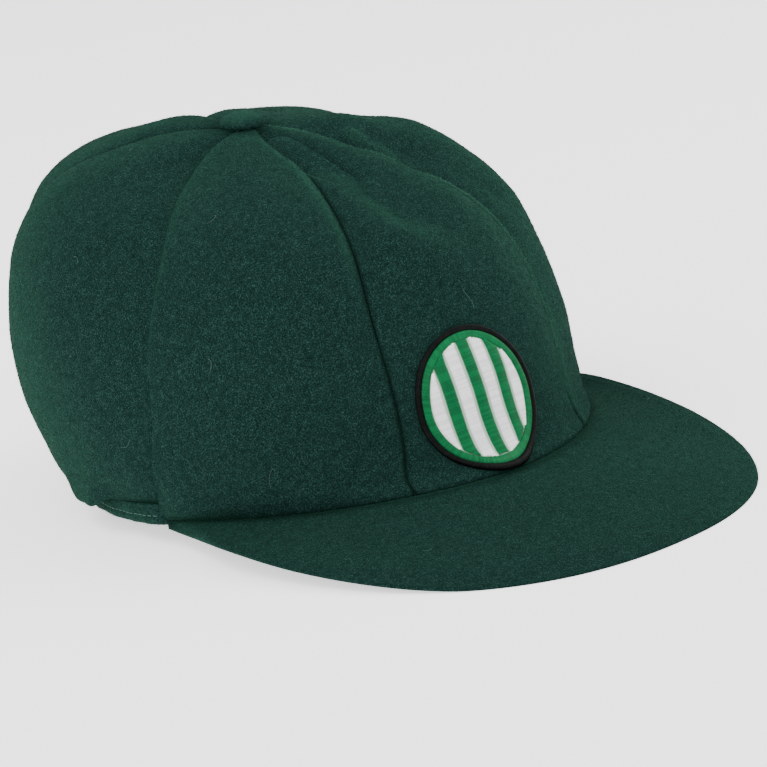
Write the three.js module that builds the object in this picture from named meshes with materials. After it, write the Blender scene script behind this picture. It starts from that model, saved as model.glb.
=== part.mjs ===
// Cricket cap with six puffed panels, a covered button, a short stiff peak
// and an elasticated hem round the back. Millimetres, +Z up. The peak points
// to -Y and the wearer's right side is -X.
import * as THREE from 'three';

// The opening that the head goes into, measured on the outside of the cloth.
const RIM_LENGTH = 206;
const RIM_WIDTH = 168;
const RIM_FRONT_POINT = 1.8;

// The crown.
const CROWN_HEIGHT = 112;
const CROWN_TIP = 9;
const PANEL_PUFF = 6;
const PUFF_ROUNDNESS = 2.2;
const CLOTH = 2;
const SEAM_GAP = 0.3;

// The hem round the back.
const HEM_DROP = 2.5;
const HEM_THICK = 3.6;
const HEM_SWELL = 0.8;

// The peak, reach and width measured from the middle of the rim.
const PEAK_REACH = 171;
const PEAK_HALF_WIDTH = 90;
const PEAK_CORNER = 24;
const PEAK_DROP = 20;
const PEAK_SIDE_DROP = 7;
const PEAK_THICK = 3;
const PEAK_EDGE_THIN = 0.5;

// The peak's outline is a flattened round with these powers.
const PEAK_FRONT_POWER = 0.78;
const PEAK_SIDE_POWER = 0.89;

// Its back corner on the wearer's right is pulled in by this much, over the
// last degrees of the outline, to the side, back and down by these shares.
const PEAK_TUCK = 13;
const PEAK_TUCK_FROM = 82;
const PEAK_TUCK_SIDE = 0.54;
const PEAK_TUCK_BACK = 0.81;
const PEAK_TUCK_DOWN = 0.23;

// The button on top.
const BUTTON_RADIUS = 7;
const BUTTON_HEIGHT = 4;
const BUTTON_RIM = 1;
const BUTTON_BEVEL = 0.6;
const BUTTON_LIFT = 0.9;
const STEM_CLEARANCE = 1.2;

// The plain badge on the front panel.
const BADGE_WIDTH = 42;
const BADGE_HEIGHT = 48;
const BADGE_THICK = 1.2;
const BADGE_CLEARANCE = 0.55;

// How far the cloth gives where it lies on a surface.
const REST_GIVE = 1;

// Colours and how matte they are.
const WOOL_GREEN = 0x1b4034;
const WOOL_ROUGHNESS = 0.95;
const THREAD_GREEN = 0x1f7a4a;
const THREAD_ROUGHNESS = 0.7;

const HALF_LENGTH = RIM_LENGTH / 2;
const HALF_WIDTH = RIM_WIDTH / 2;

// Level rings of the crown from the rim up to the button. height is a share
// of CROWN_HEIGHT, shift and length of half the rim's length, width of half
// its width, tip of CROWN_TIP and puff of PANEL_PUFF.
const RINGS = [
  { height: 0.000, shift: 0.000, length: 1.000, width: 1.000, tip: 0.00, puff: 0.00 },
  { height: 0.050, shift: -0.080, length: 1.000, width: 1.015, tip: 0.05, puff: 0.20 },
  { height: 0.150, shift: -0.120, length: 0.985, width: 1.030, tip: 0.15, puff: 0.42 },
  { height: 0.320, shift: -0.177, length: 0.994, width: 1.044, tip: 0.32, puff: 0.67 },
  { height: 0.540, shift: -0.214, length: 0.936, width: 1.015, tip: 0.54, puff: 0.83 },
  { height: 0.740, shift: -0.256, length: 0.865, width: 0.886, tip: 0.74, puff: 1.00 },
  { height: 0.880, shift: -0.292, length: 0.625, width: 0.692, tip: 0.88, puff: 1.00 },
  { height: 0.966, shift: -0.255, length: 0.305, width: 0.340, tip: 0.96, puff: 0.62 },
  { height: 1.004, shift: -0.190, length: 0.080, width: 0.098, tip: 1.00, puff: 0.10 },
  { height: 1.009, shift: -0.186, length: 0.035, width: 0.043, tip: 1.00, puff: 0.00 },
];
const TOP = RINGS.length - 1;

// The ring at the top of the hem, the levels over which the cloth above it is
// gathered in, and the share of the gathers that hangs down. They grow from
// the cap's sides to where the rim has turned by this share to the back.
const HEM_LEVEL = 1;
const GATHER_LEVELS = 0.5;
const GATHER_HANG = 0.5;
const GATHER_TURN = 0.5;

// The front of the rim is pointed up to this level. The folds fade out over
// FOLD_FADE levels at the foot of a panel and SMOOTH_TOP levels at the top.
const POINTED_LEVELS = 4;
const FOLD_FADE = 0.8;
const SMOOTH_TOP = 2;

// The middle of the badge.
const BADGE_LEVEL = 2.45;
const BADGE_BEARING = 2;

// The six seams, one column each, as bearings in degrees from the middle of
// the front towards the wearer's right, one row for each ring. The peak and
// the hem end this many degrees before the seams that they meet at.
const END_MARGIN = 0.4;
const SEAMS = [
  { backLeft: -151, sideLeft: -84, frontLeft: -28, frontRight: 26, sideRight: 84, backRight: 149 },
  { backLeft: -153, sideLeft: -79, frontLeft: -30, frontRight: 24, sideRight: 79, backRight: 148 },
  { backLeft: -155, sideLeft: -78, frontLeft: -31, frontRight: 21, sideRight: 76, backRight: 145 },
  { backLeft: -158, sideLeft: -80, frontLeft: -34, frontRight: 19, sideRight: 70, backRight: 142 },
  { backLeft: -161, sideLeft: -83, frontLeft: -37, frontRight: 17, sideRight: 66, backRight: 139 },
  { backLeft: -160, sideLeft: -85, frontLeft: -37, frontRight: 15, sideRight: 63, backRight: 134 },
  { backLeft: -160, sideLeft: -90, frontLeft: -36, frontRight: 8, sideRight: 59, backRight: 128 },
  { backLeft: -170, sideLeft: -100, frontLeft: -40, frontRight: 2, sideRight: 62, backRight: 124 },
  { backLeft: -177, sideLeft: -112, frontLeft: -48, frontRight: 0, sideRight: 62, backRight: 122 },
  { backLeft: -178, sideLeft: -115, frontLeft: -50, frontRight: 0, sideRight: 62, backRight: 122 },
];

// The panels between the seams, going round from the front.
const PANELS = [
  { name: 'crown_panel_front', from: 'frontLeft', to: 'frontRight', start: 0 },
  { name: 'crown_panel_right_front', from: 'frontRight', to: 'sideRight', start: 0 },
  { name: 'crown_panel_right_rear', from: 'sideRight', to: 'backRight', start: HEM_LEVEL },
  { name: 'crown_panel_rear', from: 'backRight', to: 'backLeft', start: HEM_LEVEL },
  { name: 'crown_panel_left_rear', from: 'backLeft', to: 'sideLeft', start: HEM_LEVEL },
  { name: 'crown_panel_left_front', from: 'sideLeft', to: 'frontLeft', start: 0 },
];

// Dents and folds, each along a line from one bearing and level to another.
// rise is a share of PANEL_PUFF, and spread of half the rim's length.
const FOLDS = [
  { bearing: -8, level: 6.3, toBearing: -10, toLevel: 5.2, rise: -0.60, spread: 0.13 },
  { bearing: 2, level: 6.3, toBearing: 6, toLevel: 5.1, rise: 0.34, spread: 0.08 },
  { bearing: 4, level: 5.0, toBearing: -6, toLevel: 4.4, rise: 0.28, spread: 0.08 },
  { bearing: -45, level: 6.5, toBearing: -40, toLevel: 5.9, rise: -0.40, spread: 0.08 },
  { bearing: -60, level: 6.7, toBearing: -47, toLevel: 6.3, rise: 0.40, spread: 0.08 },
  { bearing: -68, level: 5.8, toBearing: -58, toLevel: 4.6, rise: 0.36, spread: 0.13 },
  { bearing: 140, level: 7.4, toBearing: 120, toLevel: 6.4, rise: 0.65, spread: 0.22 },
  { bearing: 72, level: 0.9, toBearing: 42, toLevel: 0.7, rise: 0.35, spread: 0.10 },
  { bearing: 108, level: 1.5, toBearing: 140, toLevel: 1.6, rise: 0.15, spread: 0.12 },
  { bearing: -108, level: 1.5, toBearing: -142, toLevel: 1.6, rise: 0.20, spread: 0.12 },
  { bearing: -70, level: 0.9, toBearing: -42, toLevel: 0.7, rise: 0.10, spread: 0.10 },
  { bearing: 165, level: 4.6, toBearing: 198, toLevel: 4.2, rise: -0.40, spread: 0.16 },
];

// Faces across a panel, up a panel, along the peak, round the hem and so on.
const PANEL_ACROSS = 10;
const PANEL_UP = 16;
const FOOT_UP = 3;
const PEAK_ALONG = 36;
const PEAK_OUTWARD = [0, 0.25, 0.5, 0.75, 0.93, 1];
const HEM_ALONG = 32;
const BUTTON_AROUND = 20;
const BUTTON_UP = 6;
const BADGE_OUTWARD = 4;
const BADGE_AROUND = 28;

// The badge's points are found on the crown in this many turns of a search
// that steps by this much.
const BADGE_TURNS = 6;
const BADGE_STEP = 0.01;

const { degToRad: radians, lerp, smoothstep } = THREE.MathUtils;

// Smooth curve through the rows of a table, read at any level.
function between(rows, key, level) {
  const low = Math.min(Math.max(Math.floor(level), 0), rows.length - 2);
  const t = level - low;
  const b = rows[low][key];
  const c = rows[low + 1][key];
  const a = low > 0 ? rows[low - 1][key] : 2 * b - c;
  const d = low + 2 < rows.length ? rows[low + 2][key] : 2 * c - b;
  return b + 0.5 * t * (c - a + t * (2 * a - 5 * b + 4 * c - d + t * (3 * (b - c) + d - a)));
}

// A point of the smooth crown, before its panels puff.
function ringPoint(level, bearing) {
  const angle = radians(bearing);
  const forward = Math.cos(angle);
  const side = Math.sin(angle);
  const pointed = lerp(RIM_FRONT_POINT, 2, Math.min(level / POINTED_LEVELS, 1));
  const power = forward > 0 ? pointed : 2;
  const round = (Math.abs(forward) ** power + Math.abs(side) ** power) ** (-1 / power);
  const along = between(RINGS, 'length', level) * HALF_LENGTH * forward * round;
  const across = between(RINGS, 'width', level) * HALF_WIDTH * side * round;
  const tip = radians(between(RINGS, 'tip', level) * CROWN_TIP);
  const middle = between(RINGS, 'shift', level) * HALF_LENGTH;
  return new THREE.Vector3(
    -across,
    -(middle + along * Math.cos(tip)),
    between(RINGS, 'height', level) * CROWN_HEIGHT - along * Math.sin(tip),
  );
}

// Outward direction of the smooth crown.
function ringNormal(level, bearing) {
  const step = 0.01;
  const up = Math.min(level + step, TOP);
  const rise = ringPoint(up, bearing).sub(ringPoint(up - 2 * step, bearing));
  const turn = ringPoint(level, bearing + 1).sub(ringPoint(level, bearing - 1));
  return rise.cross(turn).normalize();
}

// How far the folds lift or sink the cloth at a point.
function foldRise(point) {
  let sum = 0;
  const nearest = new THREE.Vector3();
  for (const fold of FOLDS) {
    const start = ringPoint(fold.level, fold.bearing);
    const end = ringPoint(fold.toLevel, fold.toBearing);
    new THREE.Line3(start, end).closestPointToPoint(point, true, nearest);
    const away = nearest.distanceTo(point) / (fold.spread * HALF_LENGTH);
    sum += fold.rise * PANEL_PUFF * Math.exp(-away * away);
  }
  return sum;
}

// The crown's outer surface. lean runs from -1 at a panel's first seam to 1
// at its second, and the cloth stands highest between them. Over the hem the
// cloth is gathered in to the rim.
function crownPoint(level, bearing, lean, start) {
  const point = ringPoint(level, bearing);
  const normal = ringNormal(level, bearing);
  const rise = 1 - Math.abs(lean) ** PUFF_ROUNDNESS;
  const puff = between(RINGS, 'puff', level) * PANEL_PUFF * rise;
  const rear = smoothstep(-Math.cos(radians(bearing)), 0, GATHER_TURN);
  const aboveFoot = smoothstep(level - HEM_LEVEL * rear, 0, FOLD_FADE);
  const belowTop = 1 - smoothstep(level, TOP - SMOOTH_TOP, TOP);
  point.addScaledVector(normal, puff + foldRise(point) * aboveFoot * belowTop);
  if (start > 0) {
    const rim = ringPoint(0, bearing);
    const foot = ringPoint(start, bearing);
    const gather = (1 - Math.min((level - start) / GATHER_LEVELS, 1)) ** 2;
    point.x += (rim.x - point.x) * gather * rear;
    point.y += (rim.y - point.y) * gather * rear;
    point.z += (foot.z - point.z) * (level === start ? 1 : gather * GATHER_HANG);
  }
  return { point, normal };
}

// One closed body between a front grid and a back grid of points, both
// indexed [row][column]. Seen from the front, rows go up and columns right.
// Both sides are split alike, so that neighbours along a seam match.
function slab(front, back) {
  const rows = front.length;
  const columns = front[0].length;
  const points = [...front.flat(), ...back.flat()];
  const positions = [];
  const put = (...corners) => {
    for (const corner of corners) positions.push(...points[corner].toArray());
  };
  const quad = (a, b, c, d) => {
    put(a, b, c);
    put(a, c, d);
  };
  const at = (row, column) => row * columns + column;
  const behind = rows * columns;
  for (let row = 0; row + 1 < rows; row += 1) {
    for (let column = 0; column + 1 < columns; column += 1) {
      const a = at(row, column);
      const b = at(row, column + 1);
      const c = at(row + 1, column + 1);
      const d = at(row + 1, column);
      quad(a, b, c, d);
      quad(behind + d, behind + c, behind + b, behind + a);
    }
  }
  for (let column = 0; column + 1 < columns; column += 1) {
    quad(behind + at(0, column), behind + at(0, column + 1), at(0, column + 1), at(0, column));
    const end = at(rows - 1, column);
    quad(end, end + 1, behind + end + 1, behind + end);
  }
  for (let row = 0; row + 1 < rows; row += 1) {
    quad(behind + at(row + 1, 0), behind + at(row, 0), at(row, 0), at(row + 1, 0));
    const side = at(row, columns - 1);
    quad(behind + side + columns, side + columns, side, behind + side);
  }
  const geometry = new THREE.BufferGeometry();
  geometry.setAttribute('position', new THREE.Float32BufferAttribute(positions, 3));
  return geometry;
}

// A panel's seams at one level, as two bearings with the second larger.
function seamPair(panel, level) {
  const from = between(SEAMS, panel.from, level);
  const to = between(SEAMS, panel.to, level);
  return [from, to < from ? to + 360 : to];
}

// The levels of a panel's rows. All panels share those above the hem, so
// that neighbours meet along the same line.
function panelLevels(panel) {
  const levels = [];
  if (panel.start < HEM_LEVEL) {
    for (let row = 0; row < FOOT_UP; row += 1) levels.push(HEM_LEVEL * row / FOOT_UP);
  }
  for (let row = 0; row <= PANEL_UP; row += 1) {
    levels.push(HEM_LEVEL + (TOP - HEM_LEVEL) * row / PANEL_UP);
  }
  return levels;
}

// One crown panel, its edges drawn back from the seams by half the gap. It
// is built from its second seam to its first, left to right from outside.
function panelGeometry(panel) {
  const outside = [];
  const inside = [];
  for (const level of panelLevels(panel)) {
    const [from, to] = seamPair(panel, level);
    const outer = [];
    const inner = [];
    for (let column = 0; column <= PANEL_ACROSS; column += 1) {
      const lean = 1 - 2 * column / PANEL_ACROSS;
      const bearing = lerp(from, to, (lean + 1) / 2);
      const { point, normal } = crownPoint(level, bearing, lean, panel.start);
      if (level === panel.start) normal.setZ(0).normalize();
      if (Math.abs(lean) === 1) {
        const inward = ringPoint(level, bearing - lean).sub(ringPoint(level, bearing));
        point.addScaledVector(inward.normalize(), SEAM_GAP / 2);
      }
      outer.push(point);
      inner.push(point.clone().addScaledVector(normal, -CLOTH));
    }
    outside.push(outer);
    inside.push(inner);
  }
  return slab(outside, inside);
}

// The peak's outer edge, at an angle from the middle of its front.
function peakEdge(angle) {
  const forward = Math.abs(Math.cos(angle));
  const side = Math.abs(Math.sin(angle));
  const bend = THREE.MathUtils.radToDeg(angle);
  const tuck = PEAK_TUCK * smoothstep(bend, PEAK_TUCK_FROM, 90);
  const reach = lerp(PEAK_CORNER, PEAK_REACH, forward ** PEAK_FRONT_POWER);
  const width = PEAK_HALF_WIDTH * side ** PEAK_SIDE_POWER;
  const drop = PEAK_DROP * forward + PEAK_SIDE_DROP * forward * side * side;
  return new THREE.Vector3(
    -(width - PEAK_TUCK_SIDE * tuck) * Math.sign(Math.sin(angle)),
    -(reach - PEAK_TUCK_BACK * tuck),
    -(drop + PEAK_TUCK_DOWN * tuck),
  );
}

// The peak, one stiff sheet from under the crown's front edge to its rim.
function peakGeometry() {
  const top = [];
  const under = [];
  for (const share of PEAK_OUTWARD) {
    const topRow = [];
    const underRow = [];
    for (let column = 0; column <= PEAK_ALONG; column += 1) {
      const lean = 1 - 2 * column / PEAK_ALONG;
      const rim = ringPoint(0, (SEAMS[0].sideRight - END_MARGIN) * lean);
      const inset = 1 - CLOTH / rim.length();
      const root = new THREE.Vector3(rim.x * inset, rim.y * inset, -PEAK_THICK / 2 - SEAM_GAP);
      const middle = root.lerp(peakEdge(radians(90 * lean)), share);
      const half = PEAK_THICK / 2 * (share === 1 ? PEAK_EDGE_THIN : 1);
      topRow.push(middle.clone().setZ(middle.z + half));
      underRow.push(middle.clone().setZ(middle.z - half));
    }
    top.unshift(topRow);
    under.unshift(underRow);
  }
  return slab(top, under);
}

// The hem, a flat channel of turned cloth round the back.
function hemGeometry() {
  const first = SEAMS[0].sideRight + END_MARGIN;
  const last = 360 + SEAMS[0].sideLeft - END_MARGIN;
  const tip = radians(RINGS[HEM_LEVEL].tip * CROWN_TIP);
  const topEdge = RINGS[HEM_LEVEL].height * CROWN_HEIGHT - SEAM_GAP;
  const outside = [[], [], []];
  const inside = [[], [], []];
  for (let column = 0; column <= HEM_ALONG; column += 1) {
    const rim = ringPoint(0, lerp(last, first, column / HEM_ALONG));
    const out = rim.clone().normalize();
    const rows = [
      { height: -HEM_DROP, swell: 0 },
      { height: (topEdge - HEM_DROP) / 2, swell: HEM_SWELL },
      { height: topEdge + rim.y * Math.sin(tip), swell: 0 },
    ];
    rows.forEach(({ height, swell }, row) => {
      const face = rim.clone().setZ(height);
      outside[row].push(face.clone().addScaledVector(out, swell));
      inside[row].push(face.clone().addScaledVector(out, -HEM_THICK));
    });
  }
  return slab(outside, inside);
}

// The covered button, a low dome on a stem through the tips of the panels.
function buttonGeometry() {
  const hole = Math.min(RINGS[TOP].length * HALF_LENGTH, RINGS[TOP].width * HALF_WIDTH);
  const stem = hole - STEM_CLEARANCE;
  const profile = [
    new THREE.Vector2(0, -CLOTH),
    new THREE.Vector2(stem, -CLOTH),
    new THREE.Vector2(stem, 0),
    new THREE.Vector2(BUTTON_RADIUS - BUTTON_BEVEL, 0),
  ];
  for (let step = 0; step < BUTTON_UP; step += 1) {
    const angle = step / BUTTON_UP * Math.PI / 2;
    const height = lerp(BUTTON_RIM, BUTTON_HEIGHT, Math.sin(angle));
    profile.push(new THREE.Vector2(BUTTON_RADIUS * Math.cos(angle), height));
  }
  profile.push(new THREE.Vector2(0, BUTTON_HEIGHT));
  const geometry = new THREE.LatheGeometry(profile, BUTTON_AROUND);
  geometry.rotateX(Math.PI / 2);
  return geometry;
}

// The badge, an oval patch that follows the front panel.
function badgeGeometry() {
  const centre = ringPoint(BADGE_LEVEL, BADGE_BEARING);
  const outward = ringNormal(BADGE_LEVEL, BADGE_BEARING);
  const aside = new THREE.Vector3(0, 0, 1).cross(outward).normalize();
  const upward = outward.clone().cross(aside);
  const place = (share, angle, lift) => {
    const wide = share * BADGE_WIDTH / 2 * Math.cos(angle);
    const tall = share * BADGE_HEIGHT / 2 * Math.sin(angle);
    let level = BADGE_LEVEL;
    let bearing = BADGE_BEARING;
    for (let turn = 0; turn < BADGE_TURNS; turn += 1) {
      const here = ringPoint(level, bearing);
      const higher = ringPoint(level + BADGE_STEP, bearing).sub(here);
      const wider = ringPoint(level, bearing + BADGE_STEP).sub(here);
      here.sub(centre);
      level += (tall - here.dot(upward)) / higher.dot(upward) * BADGE_STEP;
      bearing += (wide - here.dot(aside)) / wider.dot(aside) * BADGE_STEP;
    }
    const [from, to] = seamPair(PANELS[0], level);
    const lean = (bearing - from) / (to - from) * 2 - 1;
    const { point, normal } = crownPoint(level, bearing, lean, 0);
    return point.addScaledVector(normal, lift);
  };
  const positions = [];
  const put = (...corners) => corners.forEach((corner) => positions.push(...corner.toArray()));
  const base = BADGE_CLEARANCE;
  const face = base + BADGE_THICK;
  for (let step = 0; step < BADGE_AROUND; step += 1) {
    const a = step / BADGE_AROUND * 2 * Math.PI;
    const b = (step + 1) % BADGE_AROUND / BADGE_AROUND * 2 * Math.PI;
    const first = 1 / BADGE_OUTWARD;
    put(place(0, 0, face), place(first, a, face), place(first, b, face));
    put(place(0, 0, base), place(first, b, base), place(first, a, base));
    for (let ring = 1; ring < BADGE_OUTWARD; ring += 1) {
      const near = ring / BADGE_OUTWARD;
      const far = (ring + 1) / BADGE_OUTWARD;
      put(place(near, a, face), place(far, a, face), place(far, b, face));
      put(place(near, a, face), place(far, b, face), place(near, b, face));
      put(place(near, a, base), place(far, b, base), place(far, a, base));
      put(place(near, a, base), place(near, b, base), place(far, b, base));
    }
    put(place(1, a, base), place(1, b, base), place(1, b, face));
    put(place(1, a, base), place(1, b, face), place(1, a, face));
  }
  const geometry = new THREE.BufferGeometry();
  geometry.setAttribute('position', new THREE.Float32BufferAttribute(positions, 3));
  return geometry;
}

function matte(color, roughness) {
  return new THREE.MeshStandardMaterial({ color, roughness, metalness: 0 });
}
const wool = () => matte(WOOL_GREEN, WOOL_ROUGHNESS);
const thread = () => matte(THREAD_GREEN, THREAD_ROUGHNESS);

const cap = new THREE.Group();
function add(name, geometry, material) {
  const mesh = new THREE.Mesh(geometry, material);
  mesh.name = name;
  cap.add(mesh);
}

for (const panel of PANELS) add(panel.name, panelGeometry(panel), wool());
add('peak', peakGeometry(), wool());
add('rear_hem', hemGeometry(), wool());
add('badge', badgeGeometry(), thread());

const button = buttonGeometry();
button.rotateX(radians(CROWN_TIP));
const tips = ringPoint(TOP, 0).add(ringPoint(TOP, 180)).multiplyScalar(0.5);
button.translate(tips.x, tips.y, tips.z + BUTTON_LIFT);
add('button', button, wool());

// The cap lies on the front of its peak and the back of its hem, so it tips
// back by this angle, and the cloth gives a little where it touches.
const peakEdgeDrop = PEAK_DROP + PEAK_THICK * PEAK_EDGE_THIN / 2;
const restTilt = Math.atan2(peakEdgeDrop - HEM_DROP, PEAK_REACH + HALF_LENGTH);
const settle = new THREE.Matrix4().makeRotationX(-restTilt);
let lowest = Infinity;
for (const mesh of cap.children) {
  mesh.geometry.applyMatrix4(settle);
  mesh.geometry.computeBoundingBox();
  lowest = Math.min(lowest, mesh.geometry.boundingBox.min.z);
}
for (const mesh of cap.children) {
  mesh.geometry.translate(0, 0, -lowest - REST_GIVE);
  const places = mesh.geometry.getAttribute('position');
  for (let index = 0; index < places.count; index += 1) {
    places.setZ(index, Math.max(places.getZ(index), 0));
  }
}
const box = new THREE.Box3().setFromObject(cap);
const middle = box.getCenter(new THREE.Vector3());
for (const mesh of cap.children) mesh.geometry.translate(-middle.x, -middle.y, 0);

export default cap;
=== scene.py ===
# Cricket cap of bottle-green melton wool. Metres, +Z up. The peak points to
# -Y and the wearer's right side is -X. Each section below is one piece of the
# cap, in the order in which a cap maker puts it together.
import math

import bpy
import numpy as np
from mathutils import Matrix, Vector, noise


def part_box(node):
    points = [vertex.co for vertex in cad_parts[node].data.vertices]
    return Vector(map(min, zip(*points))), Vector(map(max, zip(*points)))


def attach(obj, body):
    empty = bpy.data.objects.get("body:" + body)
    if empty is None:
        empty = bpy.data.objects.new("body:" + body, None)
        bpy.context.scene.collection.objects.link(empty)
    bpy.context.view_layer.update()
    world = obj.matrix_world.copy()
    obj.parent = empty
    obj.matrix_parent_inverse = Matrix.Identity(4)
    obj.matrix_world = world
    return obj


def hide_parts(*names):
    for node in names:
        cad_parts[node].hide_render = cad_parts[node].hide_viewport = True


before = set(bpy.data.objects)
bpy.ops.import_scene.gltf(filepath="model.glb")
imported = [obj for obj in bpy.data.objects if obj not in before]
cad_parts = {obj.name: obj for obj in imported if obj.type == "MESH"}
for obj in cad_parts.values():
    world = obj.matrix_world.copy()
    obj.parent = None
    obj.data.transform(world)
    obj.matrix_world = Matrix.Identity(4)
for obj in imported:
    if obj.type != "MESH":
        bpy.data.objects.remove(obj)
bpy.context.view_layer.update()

# How the cap lies. It has been put down on a level surface, on the front edge
# of its peak and the back of its hem, so it tips back a little. All pieces
# are shaped with the rim level and the middle of the rim as their origin.
RIM_LENGTH = 0.206
RIM_WIDTH = 0.168
HALF_LENGTH = RIM_LENGTH / 2
HALF_WIDTH = RIM_WIDTH / 2
HEM_DROP = 0.0025
PEAK_REACH = 0.171
PEAK_HALF_WIDTH = 0.090
PEAK_CORNER = 0.024
PEAK_DROP = 0.020
PEAK_SIDE_DROP = 0.007
PEAK_THICK = 0.003
PEAK_EDGE_THIN = 0.5
PEAK_FRONT_POWER = 0.78
PEAK_SIDE_POWER = 0.89
PEAK_TUCK = 0.013
PEAK_TUCK_FROM = 82
PEAK_TUCK_SIDE = 0.54
PEAK_TUCK_BACK = 0.81
PEAK_TUCK_DOWN = 0.23
REST_GIVE = 0.001


def smoothstep(value, low, high):
    """A soft rise from 0 at the low value to 1 at the high one."""
    share = np.clip((value - low) / (high - low), 0, 1)
    return share * share * (3 - 2 * share)


def peak_edge(degrees):
    """The peak's outline, at degrees from the middle of its front."""
    angle = np.radians(degrees)
    forward = np.abs(np.cos(angle))
    side = np.abs(np.sin(angle))
    tuck = PEAK_TUCK * smoothstep(degrees, PEAK_TUCK_FROM, 90)
    reach = PEAK_CORNER + (PEAK_REACH - PEAK_CORNER) * forward**PEAK_FRONT_POWER
    width = PEAK_HALF_WIDTH * side**PEAK_SIDE_POWER
    drop = PEAK_DROP * forward + PEAK_SIDE_DROP * forward * side * side
    return np.stack(
        [
            -(width - PEAK_TUCK_SIDE * tuck) * np.sign(angle),
            -(reach - PEAK_TUCK_BACK * tuck),
            -(drop + PEAK_TUCK_DOWN * tuck),
        ],
        axis=-1,
    )


rest_tilt = math.atan2(
    PEAK_DROP + PEAK_THICK * PEAK_EDGE_THIN / 2 - HEM_DROP,
    PEAK_REACH + HALF_LENGTH,
)
tip_back = np.array(
    [
        [1, 0, 0],
        [0, math.cos(rest_tilt), math.sin(rest_tilt)],
        [0, -math.sin(rest_tilt), math.cos(rest_tilt)],
    ]
)
front_edge = peak_edge(np.linspace(-89, 89, 179)) @ tip_back.T
front_edge[:, 2] -= PEAK_THICK * PEAK_EDGE_THIN / 2
peak_low, peak_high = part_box("peak")
rest_shift = np.array(
    [
        (peak_low.x + peak_high.x) / 2,
        peak_low.y - front_edge[:, 1].min(),
        -front_edge[:, 2].min() - REST_GIVE,
    ]
)


def laid(points):
    """Points of the level cap where they are once it lies on the surface."""
    placed = np.asarray(points) @ tip_back.T + rest_shift
    placed[..., 2] = np.maximum(placed[..., 2], 0)
    return placed


# The crown's cloth. Six gores of melton wool, a thick felted cloth with a fine
# raised nap, stand puffed between their seams. These tables are the shape of
# the crown, from the rim up to the button.
CROWN_HEIGHT = 0.112
CROWN_TIP = 9
RIM_FRONT_POINT = 1.8
POINTED_LEVELS = 4
PANEL_PUFF = 0.006
PUFF_ROUNDNESS = 2.2
CLOTH = 0.002
SEAM_GAP = 0.0003
HEM_LEVEL = 1
GATHER_LEVELS = 0.5
GATHER_HANG = 0.5
GATHER_TURN = 0.5
FOLD_FADE = 0.8
SMOOTH_TOP = 2

# One row for each level of the crown: its height as a share of the crown's,
# its shift and its length as shares of half the rim's length, its width as a
# share of half the rim's, and its tip and its puff as shares of the whole.
RINGS = np.array(
    [
        [0.000, 0.000, 1.000, 1.000, 0.00, 0.00],
        [0.050, -0.080, 1.000, 1.015, 0.05, 0.20],
        [0.150, -0.120, 0.985, 1.030, 0.15, 0.42],
        [0.320, -0.177, 0.994, 1.044, 0.32, 0.67],
        [0.540, -0.214, 0.936, 1.015, 0.54, 0.83],
        [0.740, -0.256, 0.865, 0.886, 0.74, 1.00],
        [0.880, -0.292, 0.625, 0.692, 0.88, 1.00],
        [0.966, -0.255, 0.305, 0.340, 0.96, 0.62],
        [1.004, -0.190, 0.080, 0.098, 1.00, 0.10],
        [1.009, -0.186, 0.035, 0.043, 1.00, 0.00],
    ]
)
TOP = len(RINGS) - 1
HEIGHT_COLUMN, TIP_COLUMN, PUFF_COLUMN = 0, 4, 5

# The bearings of the six seams, in degrees from the middle of the front and in
# the order of the names below, with one row for each level.
SEAMS = np.array(
    [
        [-151, -84, -28, 26, 84, 149],
        [-153, -79, -30, 24, 79, 148],
        [-155, -78, -31, 21, 76, 145],
        [-158, -80, -34, 19, 70, 142],
        [-161, -83, -37, 17, 66, 139],
        [-160, -85, -37, 15, 63, 134],
        [-160, -90, -36, 8, 59, 128],
        [-170, -100, -40, 2, 62, 124],
        [-177, -112, -48, 0, 62, 122],
        [-178, -115, -50, 0, 62, 122],
    ],
    float,
)
BACK_LEFT, SIDE_LEFT, FRONT_LEFT, FRONT_RIGHT, SIDE_RIGHT, BACK_RIGHT = range(6)

# Each fold is the bearing and level of its one end and of its other end, then
# its rise as a share of the puff and its spread as a share of half the rim's
# length.
FOLDS = [
    (-8, 6.3, -10, 5.2, -0.60, 0.13),
    (2, 6.3, 6, 5.1, 0.34, 0.08),
    (4, 5.0, -6, 4.4, 0.28, 0.08),
    (-45, 6.5, -40, 5.9, -0.40, 0.08),
    (-60, 6.7, -47, 6.3, 0.40, 0.08),
    (-68, 5.8, -58, 4.6, 0.36, 0.13),
    (140, 7.4, 120, 6.4, 0.65, 0.22),
    (72, 0.9, 42, 0.7, 0.35, 0.10),
    (108, 1.5, 140, 1.6, 0.15, 0.12),
    (-108, 1.5, -142, 1.6, 0.20, 0.12),
    (-70, 0.9, -42, 0.7, 0.10, 0.10),
    (165, 4.6, 198, 4.2, -0.40, 0.16),
]


def between(table, level):
    """A smooth curve through the rows of a table, read at any level."""
    rows = np.vstack([2 * table[0] - table[1], table, 2 * table[-1] - table[-2]])
    low = np.clip(np.floor(level).astype(int), 0, len(table) - 2)
    t = (level - low)[..., None]
    a, b, c, d = (rows[low + step] for step in range(4))
    return b + t / 2 * (c - a + t * (2 * a - 5 * b + 4 * c - d + t * (3 * (b - c) + d - a)))


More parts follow.
